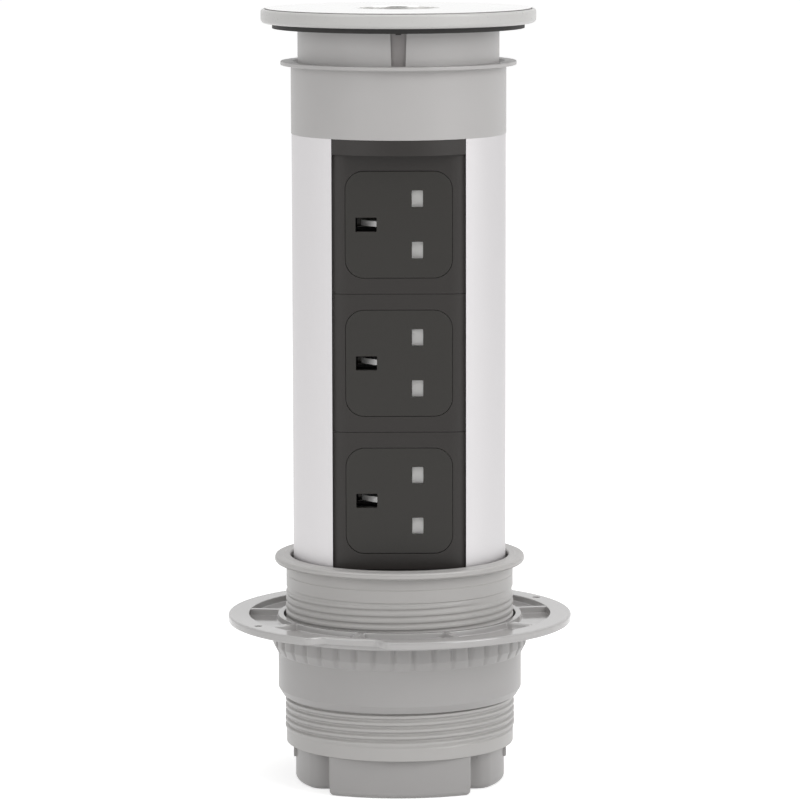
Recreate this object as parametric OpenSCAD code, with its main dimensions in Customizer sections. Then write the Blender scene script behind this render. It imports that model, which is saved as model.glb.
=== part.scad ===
// Pop up desk socket: a round column with three shuttered sockets that slides up
// through a sleeve clamped in a worktop. Millimetres. The worktop's surface is z = 0,
// +Z is up and the sockets face -Y.

/* [Column] */
// Outer radius of the aluminium column
column_r = 46.8; // [45:0.1:50]
// Wall of the column
column_wall = 2.4; // [2:0.1:2.8]
// Distance from the column's outside in to the middle of a screw port
port_inset = 5.2; // [5:0.1:5.6]
// Radius of the round bead around a screw port
port_bead_r = 3.4; // [3:0.1:3.8]
// Radius of a screw port
port_r = 1.6; // [1.4:0.1:1.8]
// Wall of the guide rails beside the sockets
rail_wall = 2.2; // [1.6:0.1:2.6]
// Depth of the guide rails
rail_depth = 22; // [16:1:24]
// Height of the curved band over the top socket
band_h = 6.6; // [4:0.2:10]

/* [Sockets] */
// Height of one socket module
module_pitch = 60; // [56:1:66]
// Width of a socket module
module_w = 57.4; // [54:0.2:59]
// Width over which a module's front corner falls back
corner_w = 7.5; // [5:0.5:9]
// Radius of a module's front corner
corner_r = 15; // [10:1:20]
// Height of the lowest module above the worktop
first_module_z = 2; // [0:0.5:6]
// Depth of a module's front frame
frame_depth = 21; // [20:0.5:24]
// Side of a socket plate
plate_side = 46; // [44:0.5:48]
// Corner radius of a socket plate
plate_corner_r = 8; // [5:0.5:10]
// Thickness of a socket plate
plate_t = 3; // [2.6:0.1:3.6]
// Gap round a socket plate
plate_gap = 0.2; // [0.1:0.05:0.5]
// Width of the ledge that carries a socket plate
plate_ledge = 2; // [1.6:0.1:2.2]

/* [Pin openings] */
// Distance between the live and neutral openings
line_spacing = 22.2; // [21.8:0.1:22.6]
// Distance from the earth opening to the line of the other two
earth_distance = 22.1; // [21.7:0.1:22.5]
// Place of the live and neutral openings right of the middle
line_x = 8; // [7:0.5:9]
// Width of a live or neutral opening
line_slot_w = 4.8; // [4.4:0.1:5]
// Height of a live or neutral opening
line_slot_h = 7.3; // [6.8:0.1:7.6]
// Width of the earth opening
earth_slot_w = 9.1; // [8.4:0.1:9.4]
// Height of the earth opening
earth_slot_h = 6.1; // [4.4:0.1:6.3]
// Width of a pin's flat side between the contact leaves
pin_t = 4; // [3.9:0.05:4.1]
// Sideways travel of a shutter
shutter_travel = 6; // [5.6:0.1:6]
// Thickness of a shutter
shutter_t = 2.5; // [1.8:0.1:2.6]
// Height of a shutter's ramp behind the earth opening
ramp_h = 2.4; // [2:0.1:3.6]

/* [Collar and neck] */
// Step from the column out to the collar
collar_step = 0.2; // [0:0.05:0.2]
// Height of the collar's barrel
collar_h = 29.9; // [28:0.1:34]
// Overhang of the collar's flange
flange_overhang = 4.5; // [3:0.5:6]
// Thickness of the collar's flange
flange_t = 1.7; // [1.2:0.1:2.5]
// Thickness of the collar's floor
collar_floor = 3.2; // [3:0.1:4]
// Wall of the collar
collar_wall = 2; // [1.7:0.1:2.1]
// Chamfer round the collar's mouth
mouth_chamfer = 1.3; // [0.6:0.1:1.4]
// Gap between the collar and the neck
neck_gap = 1; // [1:0.1:1.6]
// Wall of the neck
neck_wall = 2.8; // [2:0.1:3.4]
// Height of the neck that shows when it is up
neck_show = 14.3; // [14.3:0.1:15]
// Travel of the neck in the collar
neck_travel = 14; // [10:0.5:14]
// Width of the neck's front groove at its top
groove_top_w = 7; // [5:0.5:9]
// Width of the neck's front groove at its foot
groove_foot_w = 6; // [4:0.5:8]
// Depth of the neck's front groove
groove_depth = 1.4; // [0.8:0.1:1.8]

/* [Cap] */
// Outer radius of the cap
cap_r = 60; // [57:0.5:64]
// Height of the cap
cap_h = 6.55; // [6:0.05:8]
// Rounding of the cap's top edge
cap_top_round = 1.2; // [0.8:0.1:1.5]
// Rounding of the cap's lower edge
cap_low_round = 1.8; // [1:0.1:2.4]
// Width of the cap's rim round its top plate
cap_rim_w = 2; // [2:0.1:6]
// Thickness of the cap's top plate
cap_plate_t = 1.6; // [1:0.1:2.2]
// Radius of the round well in the cap
well_r = 18.3; // [16:0.1:20]
// Distance from the cap's edge in to the seal
seal_inset = 5; // [3:0.5:7]
// Thickness of the seal under the cap
seal_t = 2.2; // [1.6:0.1:3]
// Depth of the button's face under the cap's top
button_depth = 3.8; // [3:0.1:4.2]
// Travel of the button
button_travel = 2; // [1.4:0.1:2]

/* [Sleeve] */
// Gap between the column and the sleeve
sleeve_gap = 0.5; // [0.5:0.05:0.8]
// Wall of the sleeve
sleeve_wall = 2.7; // [2.4:0.1:3.2]
// Depth of the sleeve below the worktop's surface
sleeve_depth = 80.5; // [79:0.1:90]
// Overhang of the sleeve's rim
rim_overhang = 5; // [3:0.5:8]
// Height of the sleeve's rim
rim_h = 3.2; // [2.6:0.1:4]
// Step from the sleeve's bore out to the rim's bore
rim_bore_step = 0.7; // [0.6:0.05:0.9]
// Rounding of the rim's outer edge
rim_round = 2; // [1:0.1:2.4]
// Depth at which the thread starts
thread_top = 10.9; // [8:0.1:10.9]
// Length of the threaded stretch
thread_len = 63.9; // [50:0.1:66]
// Depth of the thread's core under the smooth stretch
thread_core_drop = 0.3; // [0.2:0.1:0.8]
// Height of the band under the thread over the smooth stretch
foot_band_step = 0.2; // [0:0.05:0.25]
// Wall left at the sleeve's lower end
foot_end_wall = 0.7; // [0.6:0.1:1.1]

/* [Clamp ring] */
// Reach of the clamp ring beyond the sleeve
clamp_reach = 25.8; // [22:0.1:30]
// Depth of the clamp ring's rim below the worktop's surface
clamp_top = 23.2; // [18:0.1:26]
// Thickness of the clamp ring's rim
clamp_rim_t = 3.5; // [2.5:0.1:5]
// Width of the clamp ring's rim
clamp_rim_w = 9.5; // [9:0.1:11]
// Depth of the channel behind the rim
channel_depth = 2.8; // [2:0.1:3]
// Thickness of the channel's floor
channel_floor = 2.3; // [1.5:0.1:3]
// Gap between the sleeve and the clamp ring
clamp_gap = 1.2; // [1.2:0.1:1.8]
// Wall of the clamp ring's inner lip
clamp_lip_t = 2.7; // [1.8:0.1:4]
// Number of ribs in the channel
rib_count = 9; // [6:1:15]
// Thickness of a rib
rib_t = 3; // [2:0.1:4]
// Height of the rim over the ribs and the lip
rib_drop = 0.2; // [0.1:0.1:1]
// Depth of a notch in the rim
notch_depth = 6.5; // [4:0.1:6.5]
// Distance from the clamp ring's edge in to a screw hole
hole_inset = 4.8; // [4.5:0.1:5.2]
// Radius of a screw hole
hole_r = 1.7; // [1.2:0.1:2]

/* [Lock nut] */
// Step from the nut's hub out to its grip
grip_step = 2.3; // [1.5:0.1:5]
// Height of the nut's grip
grip_h = 11.2; // [8:0.1:14]
// Height of the slope at the grip's foot
grip_slope = 3.6; // [2:0.1:5]
// Wall of the nut's hub
hub_wall = 3.4; // [2.8:0.1:3.8]
// Width of the chamfer at the hub's foot
hub_chamfer_w = 2.4; // [1.5:0.1:2.6]
// Height of the chamfer at the hub's foot
hub_chamfer_h = 3.2; // [1.5:0.1:4]
// Height of the whole nut
nut_h = 30.7; // [24:0.1:34]
// Gap between the sleeve and the nut
nut_gap = 0.3; // [0.3:0.05:0.5]
// Number of flutes round the grip
flute_count = 40; // [24:1:48]
// Depth of a flute
flute_depth = 0.9; // [0.5:0.1:1.1]
// Radius of a flute
flute_r = 8.3; // [5:0.1:10]

/* [Base] */
// Height of the base
base_h = 17.2; // [14:0.1:20]
// Half width of the base's front and back lobes
front_lobe_half = 30.7; // [28:0.1:31]
// Radius of the front and back lobes' curved face
front_lobe_r = 70; // [60:1:90]
// Half width of the base's side lobes
side_lobe_half = 27; // [24:0.1:28]
// Rounding of the side lobes' upright edges
lobe_round = 8; // [5:0.5:12]
// Rounding of the base's lower edge
base_round = 3.5; // [2:0.1:4.5]
// Outer radius of the cable gland
gland_r = 9; // [8:0.1:10]
// Radius of the cable's way through the gland
gland_bore_r = 5; // [3.5:0.1:6]
// Place of the gland behind the middle
gland_y = 20; // [18:0.5:21]

/* [Hidden] */
$fn = 96;

// clearances shared by the pieces that meet
run_gap = 0.08;      // shaft in its guide
side_gap = 0.2;      // modules between the rails
loose_gap = 0.3;     // moving faces that don't guide
seat_gap = 0.05;     // rings in their grooves, screws in their ports
over = 1;            // cutters run this far past a face

// radii that follow the column
port_circle_r = column_r - port_inset;
collar_r = column_r + collar_step;
flange_r = collar_r + flange_overhang;
collar_bore_r = collar_r - collar_wall;
collar_mouth_r = collar_bore_r + mouth_chamfer;
neck_r = collar_bore_r - neck_gap;
sleeve_bore_r = column_r + sleeve_gap;
sleeve_r = sleeve_bore_r + sleeve_wall;
rim_r = sleeve_r + rim_overhang;
rim_bore_r = sleeve_bore_r + rim_bore_step;
thread_core_r = sleeve_r - thread_core_drop;
foot_band_r = sleeve_r + foot_band_step;
foot_end_r = sleeve_bore_r + foot_end_wall;
clamp_bore_r = sleeve_r + clamp_gap;
clamp_lip_r = clamp_bore_r + clamp_lip_t;
clamp_r = sleeve_r + clamp_reach;
clamp_rim_inner_r = clamp_r - clamp_rim_w;
hole_circle_r = clamp_r - hole_inset;
nut_bore_r = sleeve_r + nut_gap;
hub_r = nut_bore_r + hub_wall;
grip_r = hub_r + grip_step;
cap_plate_r = cap_r - cap_rim_w;
seal_r = cap_r - seal_inset;

// heights
module_count = 3;
column_foot = -sleeve_depth;
column_top = first_module_z + module_count * module_pitch + side_gap + band_h;
collar_top = column_top + collar_h;
flange_top = collar_top + flange_t;
seal_z = flange_top + neck_show;
cap_z = seal_z + seal_t;
cap_top = cap_z + cap_h;
base_foot = column_foot - base_h;
floor_top = column_top + collar_floor;

// depths, counted from the sockets' front face towards the back
face_y = -sqrt(column_r * column_r - module_w * module_w / 4);
opening_half = module_w / 2 + side_gap;
window_side = plate_side - 2 * plate_ledge;
window_corner_r = plate_corner_r - plate_ledge;
spacer_depth = frame_depth + 5;
spacer_wall = 2.4;
shutter_y = plate_t + side_gap;
back_y = shutter_y + shutter_t + loose_gap;
back_depth = frame_depth + 8;
ramp_deep = 9.3;
ramp_room_y = shutter_y + ramp_deep + 0.5;
contact_y = 15;
contact_web_y = 23.5;
contact_room_y = 24.3;
line_room_y = 20;
busbar_t = 1.5;
busbar_w = 6;

// pin openings
earth_x = line_x - earth_distance;
line_z = line_spacing / 2;
leaf_t = 0.8;
leaf_gap = pin_t / 2 + seat_gap;

// screws
port_angles = [-20, 60, 120, 200];
screw_r = port_r - seat_gap;
head_r = 3;
head_h = 2;
base_screw_sink = 6;
base_screw_bite = 14;
collar_screw_bite = 12;

// terminal block
block_w = 44;
block_t = 11;
block_rise = 24;
spigot_r = 29;
tab_w = 14;
tab_h = 9;
spigot_y = 4;
spigot_h = 3.7;

// handle parts
neck_wall_r = neck_r - neck_wall;
neck_foot = floor_top + neck_travel + 0.5;
guide_z = flange_top - 6.9;
guide_h = 3.5;
guide_groove_r = collar_bore_r + 0.6;
web_t = 3.4;
web_z = cap_z - web_t;
handle_screw_circle_r = 30;
handle_spring_r = 20;
handle_wire_r = 1;
button_spring_r = 11;
catch_foot_r = 6;
catch_foot_h = 1.5;
catch_r = 2;
catch_h = 17;
catch_head_r = 3.5;
catch_head_h = 4;
hook_x = 9;
hook_gap = 0.5;
hook_h = 14;
hook_t = 1.4;
hook_w = 8;
clip_r = 12;
button_r = well_r - 0.4;
button_t = 2.2;
button_top = cap_top - button_depth;
button_hole_r = 6;
stem_r = button_hole_r - loose_gap;
foot_r = button_hole_r + 0.8;
pocket_z = button_top - button_t - button_travel - 0.4;

// sleeve rings
wiper_z = -3.5;
wiper_h = 4.5;
guide_ring_z = -sleeve_depth + 9.7;
guide_ring_h = 12;
guide_ring_r = sleeve_bore_r + 1;

// clamp ring and nut
clamp_z = -clamp_top;
channel_z = clamp_z - channel_depth;
clamp_foot = channel_z - channel_floor;
rib_first_angle = 22;
notch_angles = [-18, 162];
hole_angles = [-60, 120];
clamp_step_r = clamp_rim_inner_r + channel_floor;

// a point at a radius and at an angle from the front, positive towards +X
function at(r, angle) = [r * sin(angle), -r * cos(angle)];

// points of an arc from angle a to angle b
function arc(c, r, a, b, n = 8) =
    [for (i = [0 : n]) c + r * [cos(a + (b - a) * i / n), sin(a + (b - a) * i / n)]];

// the same points mirrored, in the other order
function mirrored(points, x, y) =
    [for (i = [len(points) - 1 : -1 : 0]) [x * points[i][0], y * points[i][1]]];

// an outline drawn in X and Z, carried from one depth to another behind the front face
module through_y(y0, y1) {
    translate([0, face_y + y1, 0]) rotate([90, 0, 0]) linear_extrude(y1 - y0) children();
}

module rounded_square(w, h, r) {
    square([w - 2 * r, h], center = true);
    square([w, h - 2 * r], center = true);
    for (x = [-1, 1], z = [-1, 1])
        translate([x * (w / 2 - r), z * (h / 2 - r)]) circle(r);
}

module ring(inner, outer, z, h) {
    translate([0, 0, z]) difference() {
        cylinder(r = outer, h = h);
        translate([0, 0, -over]) cylinder(r = inner, h = h + 2 * over);
    }
}

module at_ports() {
    for (a = port_angles)
        rotate([0, 0, a]) translate([port_circle_r, 0, 0]) children();
}

// a coil spring along +Z, as one swept tube
module coil(mean_r, wire_r, length, turns, sides = 6, steps = 12) {
    rings = turns * steps;
    rise = length - 2 * wire_r;
    points = [for (i = [0 : rings], k = [0 : sides - 1])
        let (a = 360 * i / steps, b = 360 * k / sides, r = mean_r + wire_r * cos(b))
        [r * cos(a), r * sin(a), wire_r + rise * i / rings + wire_r * sin(b)]];
    walls = [for (i = [0 : rings - 1], k = [0 : sides - 1])
        let (k2 = (k + 1) % sides)
        each [[i * sides + k, i * sides + k2, (i + 1) * sides + k2],
              [i * sides + k, (i + 1) * sides + k2, (i + 1) * sides + k]]];
    first = [[for (k = [sides - 1 : -1 : 0]) k]];
    last = [[for (k = [0 : sides - 1]) rings * sides + k]];
    mirror([0, 1, 0]) polyhedron(points, concat(walls, first, last), convexity = 10);
}

// sleeve, in the worktop

module sleeve() {
    color("silver") rotate_extrude() polygon(concat(
        [[sleeve_bore_r, -sleeve_depth], [foot_end_r, -sleeve_depth],
         [foot_band_r, -sleeve_depth + 2.5], [foot_band_r, -thread_top - thread_len],
         [thread_core_r, -thread_top - thread_len], [thread_core_r, -thread_top],
         [sleeve_r, -thread_top], [sleeve_r, 0], [rim_r, 0]],
        arc([rim_r - rim_round, rim_h - rim_round], rim_round, 0, 90),
        [[rim_bore_r + 0.5, rim_h], [rim_bore_r, rim_h - 0.5], [rim_bore_r, wiper_z],
         [sleeve_bore_r, wiper_z],
         [sleeve_bore_r, guide_ring_z + guide_ring_h],
         [guide_ring_r, guide_ring_z + guide_ring_h],
         [guide_ring_r, guide_ring_z], [sleeve_bore_r, guide_ring_z]]));
}

module wiper_ring() {
    color("dimgray") ring(collar_r + 0.15, rim_bore_r - seat_gap, wiper_z, wiper_h);
}

module guide_ring() {
    color("white")
        ring(column_r + run_gap, guide_ring_r - seat_gap, guide_ring_z, guide_ring_h);
}

// column

module column_outline() {
    difference() {
        union() {
            difference() {
                circle(column_r);
                circle(column_r - column_wall);
            }
            intersection() {
                circle(column_r - column_wall / 2);
                at_ports() circle(port_bead_r);
            }
            intersection() {
                circle(column_r);
                for (s = [-1, 1])
                    translate([s * (opening_half + rail_wall / 2),
                               face_y + rail_depth / 2 + 0.6])
                        square([rail_wall, rail_depth], center = true);
            }
        }
        translate([-opening_half, face_y * 2]) square([2 * opening_half, -face_y * 2 - over]);
        at_ports() circle(port_r);
    }
}

module column_extrusion() {
    color("gainsboro") translate([0, 0, column_foot])
        linear_extrude(column_top - column_foot) column_outline();
}

// the curved strip that closes the column's opening above or below the sockets
module front_strip(depth) {
    intersection() {
        circle(column_r);
        translate([-module_w / 2, -column_r]) square([module_w, depth]);
    }
}

module top_spacer() {
    z = column_top - band_h;
    color([0.24, 0.24, 0.23]) difference() {
        translate([0, 0, z]) linear_extrude(band_h) front_strip(spacer_depth);
        translate([-module_w / 2 + spacer_wall, face_y + spacer_wall, z - over])
            cube([module_w - 2 * spacer_wall, column_r, band_h - spacer_wall + over]);
    }
}

module bottom_spacer() {
    top = first_module_z - side_gap;
    color([0.24, 0.24, 0.23]) difference() {
        translate([0, 0, column_foot])
            linear_extrude(top - column_foot) front_strip(spacer_depth);
        translate([-module_w / 2 + spacer_wall, face_y + spacer_wall, column_foot - over])
            cube([module_w - 2 * spacer_wall, column_r, top - column_foot - spacer_wall + over]);
    }
}

// sockets

function module_z(i) = first_module_z + (i + 0.5) * module_pitch;

module frame_outline() {
    x = module_w / 2 - corner_w;
    intersection() {
        translate([-module_w / 2, face_y]) square([module_w, frame_depth]);
        union() {
            translate([-x, face_y]) square([2 * x, frame_depth]);
            for (s = [-1, 1]) translate([s * x, face_y + corner_r]) circle(corner_r);
            translate([-module_w / 2, face_y + corner_r])
                square([module_w, frame_depth - corner_r]);
        }
    }
}

module module_frame(i) {
    h = module_pitch - side_gap;
    pocket = plate_side + 2 * plate_gap;
    color([0.24, 0.24, 0.23]) translate([0, 0, module_z(i)]) difference() {
        translate([0, 0, -h / 2]) linear_extrude(h) frame_outline();
        through_y(-over, plate_t)
            rounded_square(pocket, pocket, plate_corner_r + plate_gap);
        through_y(plate_t - over, frame_depth + over)
            rounded_square(window_side, window_side, window_corner_r);
    }
}

module pin_slots() {
    for (s = [-1, 1])
        translate([line_x, s * line_z]) square([line_slot_w, line_slot_h], center = true);
    translate([earth_x, 0]) square([earth_slot_w, earth_slot_h], center = true);
}

module socket_plate(i) {
    color([0.26, 0.26, 0.25]) translate([0, 0, module_z(i)]) through_y(0, plate_t)
        difference() {
            rounded_square(plate_side, plate_side, plate_corner_r);
            pin_slots();
        }
}

module shutter(i) {
    right = line_x + line_slot_w / 2 + 4;
    left = line_x - shutter_travel - line_slot_w / 2 - 6;
    half = line_z + line_slot_h / 2 + 1;
    ramp_x = earth_x - 2.2;
    color("silver") translate([0, 0, module_z(i)]) {
        through_y(shutter_y, shutter_y + shutter_t) difference() {
            translate([left, -half]) square([right - left, 2 * half]);
            for (s = [-1, 1]) translate([line_x - shutter_travel, s * line_z])
                square([line_slot_w + 0.4, line_slot_h], center = true);
            translate([line_x - 3, -1.6]) square([right, 3.2]);
        }
        // ramp that the earth pin pushes aside
        translate([0, face_y, -ramp_h / 2])
            linear_extrude(ramp_h) polygon([
                [left + 0.5, shutter_y], [earth_x + 3.8, shutter_y + 0.4],
                [ramp_x, shutter_y + ramp_deep - 1.5], [ramp_x, shutter_y + ramp_deep],
                [ramp_x + 4.3, shutter_y + ramp_deep], [left + 0.5, shutter_y + shutter_t]]);
    }
}

module shutter_spring(i) {
    from = line_x - 3;
    to = window_side / 2;
    color("gray")
        translate([from, face_y + shutter_y + shutter_t / 2, module_z(i)])
            rotate([0, 90, 0]) coil(0.9, 0.25, to - from, 10, 5, 8);
}

// where a live or neutral contact's tail leaves it: outwards on live, inwards on neutral
function tail_x(s) = line_x + s * (leaf_gap + leaf_t / 2);

module module_back(i) {
    front_side = window_side - 2 * side_gap;
    color([0.2, 0.2, 0.2]) translate([0, 0, module_z(i)]) difference() {
        union() {
            through_y(back_y, frame_depth + over)
                rounded_square(front_side, front_side, window_corner_r);
            through_y(frame_depth, back_depth)
                square([module_w - 1, module_pitch - 1], center = true);
        }
        // room for the shutter's ramp, the earth pin's way in, and its contact's room
        through_y(back_y - over, ramp_room_y)
            translate([earth_x - 5, -earth_slot_h / 2 - 0.3]) square([20, earth_slot_h + 0.6]);
        through_y(ramp_room_y - over, contact_y + over)
            translate([earth_x, 0]) square([earth_slot_w - 0.4, pin_t + 0.6], center = true);
        through_y(contact_y, contact_room_y)
            translate([earth_x, 0]) square([earth_slot_w, 8.4], center = true);
        through_y(contact_room_y - over, back_depth + over)
            translate([earth_x, 0]) square([2.4, 4.4], center = true);
        // room for the live and neutral contacts
        for (s = [-1, 1]) {
            through_y(back_y - over, line_room_y)
                translate([line_x, s * line_z]) square([8, line_slot_h + 1.5], center = true);
            through_y(line_room_y - over, back_depth + over)
                translate([tail_x(s), s * line_z]) square([1.2, 4.4], center = true);
        }
    }
}

// a contact of sheet brass: two leaves, the web that joins them, and a tail
module earth_contact(i) {
    reach = leaf_gap + leaf_t;
    color("gold") translate([0, 0, module_z(i)]) {
        for (s = [-1, 1]) through_y(contact_y + 0.2, contact_web_y + leaf_t / 2)
            translate([earth_x, s * (leaf_gap + leaf_t / 2)]) square([8, leaf_t], center = true);
        through_y(contact_web_y, contact_room_y)
            translate([earth_x, 0]) square([8, 2 * reach], center = true);
        through_y(contact_web_y + leaf_t / 2, back_depth)
            translate([earth_x, 0]) square([1.8, 4], center = true);
    }
}

module line_contact(i, s) {
    reach = leaf_gap + leaf_t;
    color("gold") translate([0, 0, module_z(i) + s * line_z]) {
        web_y = line_room_y - leaf_t;
        for (k = [-1, 1]) through_y(back_y + 1.5, web_y + leaf_t / 2)
            translate([line_x + k * (leaf_gap + leaf_t / 2), 0])
                square([leaf_t, 6.4], center = true);
        through_y(web_y, line_room_y) translate([line_x, 0]) square([2 * reach, 6.4], center = true);
        through_y(web_y + leaf_t / 2, back_depth)
            translate([tail_x(s), 0]) square([leaf_t, 4], center = true);
    }
}

// current rails behind the modules, down to the terminal block

block_top = column_foot + spigot_h + block_rise;

module busbar(x) {
    color("gold") translate([x, face_y + back_depth, block_top])
        cube([busbar_w, busbar_t, module_z(module_count - 1) + line_z + 4 - block_top]);
}

module earth_busbar() { busbar(earth_x - busbar_w / 2); }
module live_busbar() { busbar(tail_x(1) - leaf_t / 2); }
module neutral_busbar() { busbar(tail_x(-1) + leaf_t / 2 - busbar_w); }

module terminal_block() {
    y = face_y + back_depth - 4;
    color("ivory") translate([0, y, column_foot + spigot_h]) difference() {
        translate([-block_w / 2, 0, 0]) cube([block_w, block_t, block_rise]);
        for (x = [earth_x, 3, 13]) {
            // way in for a wire, from the back, and its clamping screw's hole
            translate([x, block_t / 2, block_rise / 4])
                rotate([-90, 0, 0]) cylinder(r = 2.4, h = block_t);
            translate([x, block_t / 2, block_rise * 5 / 8])
                rotate([-90, 0, 0]) cylinder(r = 1.8, h = block_t);
        }
    }
}

// base

// an upright outline with its two lower corners rounded
module foot_profile(half) {
    translate([-half, base_foot + base_round]) square([2 * half, base_h - base_round]);
    translate([base_round - half, base_foot]) square([2 * (half - base_round), base_h]);
    for (s = [-1, 1]) translate([s * (half - base_round), base_foot + base_round])
        circle(base_round);
}

// a round end with its lower edge rounded, turned about an upright axis
module turned_foot(r, y = 0) {
    translate([0, y, 0]) rotate_extrude($fn = 180) polygon(concat(
        [[0, column_foot], [0, base_foot]],
        arc([r - base_round, base_foot + base_round], base_round, -90, 0),
        [[r, column_foot]]));
}

module front_lobes() {
    intersection() {
        translate([0, front_lobe_r, 0]) rotate([90, 0, 0])
            linear_extrude(2 * front_lobe_r) foot_profile(front_lobe_half);
        turned_foot(front_lobe_r, column_r - front_lobe_r);
        turned_foot(front_lobe_r, front_lobe_r - column_r);
    }
}

// an outline just outside the side lobes that only rounds their upright edges
module lobe_outline() {
    in = side_lobe_half - lobe_round;
    edge_x = sqrt(pow(column_r - lobe_round, 2) - in * in);
    turn = atan2(in, edge_x);
    end = column_r / cos(turn) + over;
    edge = arc([edge_x, in], lobe_round + 0.02, turn, 90);
    upper = concat(edge, [[0, side_lobe_half + over]], mirrored(edge, -1, 1));
    polygon(concat([[end, 0]], upper, [[-end, 0]], mirrored(upper, 1, -1)));
}

module side_lobes() {
    intersection() {
        translate([-column_r, 0, 0]) rotate([90, 0, 90])
            linear_extrude(2 * column_r) foot_profile(side_lobe_half);
        turned_foot(column_r);
        translate([0, 0, base_foot - over]) linear_extrude(base_h + 2 * over) lobe_outline();
    }
}

module base() {
    color("darkgray") difference() {
        union() {
            front_lobes();
            side_lobes();
            // side tabs, and the spigot that centres the base in the column
            for (s = [-1, 1]) translate([s * (column_r - 1.8), 0, column_foot - tab_h / 2])
                cube([4, tab_w, tab_h], center = true);
            translate([0, spigot_y, column_foot - over]) cylinder(r = spigot_r, h = spigot_h + over);
        }
        at_ports() {
            translate([0, 0, base_foot - over]) cylinder(r = port_r + 0.5, h = base_h + 2 * over);
            translate([0, 0, base_foot - over])
                cylinder(r = head_r + 0.6, h = base_screw_sink + over);
        }
        translate([0, gland_y, base_foot - over])
            cylinder(r = gland_r + seat_gap, h = base_h + spigot_h - 3 + over);
        translate([0, gland_y, base_foot])
            cylinder(r = gland_bore_r + 1, h = base_h + spigot_h + over);
    }
}

module cable_gland() {
    z = base_foot + 1;
    color("dimgray") translate([0, gland_y, z]) difference() {
        cylinder(r = gland_r, h = base_h + spigot_h - 4);
        translate([0, 0, -over]) cylinder(r = gland_bore_r, h = base_h + spigot_h);
    }
}

module screw(head_z, tip_z) {
    translate([0, 0, min(head_z, tip_z)]) cylinder(r = screw_r, h = abs(tip_z - head_z));
    translate([0, 0, head_z < tip_z ? head_z - head_h : head_z]) cylinder(r = head_r, h = head_h);
}

module base_screws() {
    color("gray") at_ports() screw(base_foot + base_screw_sink, column_foot + base_screw_bite);
}

module collar_screws() {
    color("gray") at_ports() screw(floor_top - head_h - 0.1, column_top - collar_screw_bite);
}

// collar and neck

module collar() {
    color("silver") difference() {
        rotate_extrude() polygon([
            [0, column_top], [collar_r, column_top], [collar_r, collar_top],
            [flange_r, collar_top], [flange_r, flange_top - 0.4],
            [flange_r - 0.4, flange_top], [collar_mouth_r, flange_top],
            [collar_bore_r, flange_top - 1.3], [collar_bore_r, guide_z + guide_h],
            [guide_groove_r, guide_z + guide_h], [guide_groove_r, guide_z],
            [collar_bore_r, guide_z], [collar_bore_r, floor_top], [0, floor_top]]);
        at_ports() {
            translate([0, 0, column_top - over])
                cylinder(r = port_r + 0.5, h = collar_floor + 2 * over);
            translate([0, 0, floor_top - head_h - 0.1])
                cylinder(r = head_r + 0.2, h = head_h + over);
        }
    }
}

module neck_guide() {
    color("dimgray") ring(neck_r + run_gap, guide_groove_r - seat_gap, guide_z, guide_h);
}

module neck() {
    color("silver") difference() {
        rotate_extrude() polygon([
            [neck_wall_r, neck_foot], [collar_bore_r - loose_gap, neck_foot],
            [collar_bore_r - loose_gap, guide_z - 0.1], [neck_r, guide_z - 0.1],
            [neck_r, cap_z], [well_r, cap_z], [well_r, pocket_z],
            [button_hole_r, pocket_z], [button_hole_r, web_z - 1.2],
            [well_r + 3, web_z - 1.2], [well_r + 5, web_z], [neck_wall_r, web_z]]);
        // front groove, narrower at its foot
        translate([0, -neck_r + groove_depth, 0]) rotate([90, 0, 0])
            linear_extrude(groove_depth + over) polygon([
                [-groove_foot_w / 2, flange_top - 1], [groove_foot_w / 2, flange_top - 1],
                [groove_top_w / 2, seal_z], [-groove_top_w / 2, seal_z]]);
        for (a = [45 : 90 : 315]) rotate([0, 0, a])
            translate([handle_screw_circle_r, 0, web_z - over])
                cylinder(r = screw_r + 0.4, h = web_t + 2 * over);
    }
}

module handle_spring() {
    color("gray") translate([0, 0, floor_top])
        coil(handle_spring_r, handle_wire_r, web_z - 1.2 - floor_top, 6, 8, 18);
}

module catch_post() {
    color("dimgray") translate([0, 0, floor_top]) {
        cylinder(r = catch_foot_r, h = catch_foot_h);
        cylinder(r = catch_r, h = catch_h);
        translate([0, 0, catch_h - catch_head_h / 2]) cylinder(r = catch_head_r, h = catch_head_h);
    }
}

// two hooks that hang from the neck's web either side of the catch post
module catch_clip() {
    top = web_z - 1.2;
    inner = catch_head_r + hook_gap;
    outer = hook_x + hook_t / 2;
    color("dimgray") {
        for (s = [0, 1]) mirror([s, 0, 0]) {
            translate([outer - hook_t, -hook_w / 2, top - hook_h + 1])
                cube([hook_t, hook_w, hook_h - 1]);
            translate([inner, -hook_w / 2, top - hook_h])
                cube([outer - inner, hook_w, hook_t]);
        }
        ring(foot_r + 0.8, clip_r, top - 1, 1);
    }
}

module handle_screws() {
    color("gray") for (a = [45 : 90 : 315]) rotate([0, 0, a])
        translate([handle_screw_circle_r, 0, 0]) screw(web_z, cap_z + 3);
}

// cap

module cap_seal() {
    color([0.2, 0.2, 0.2]) {
        ring(neck_r + seat_gap, seal_r, seal_z, seal_t);
        // small tongue in the top of the neck's groove
        translate([-1.2, -neck_r - 1.5, seal_z - 1]) cube([2.4, 2.5, 1]);
        translate([-1.2, -neck_r - 1.5, seal_z - 1]) cube([2.4, 1.4, 1.5]);
    }
}

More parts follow.
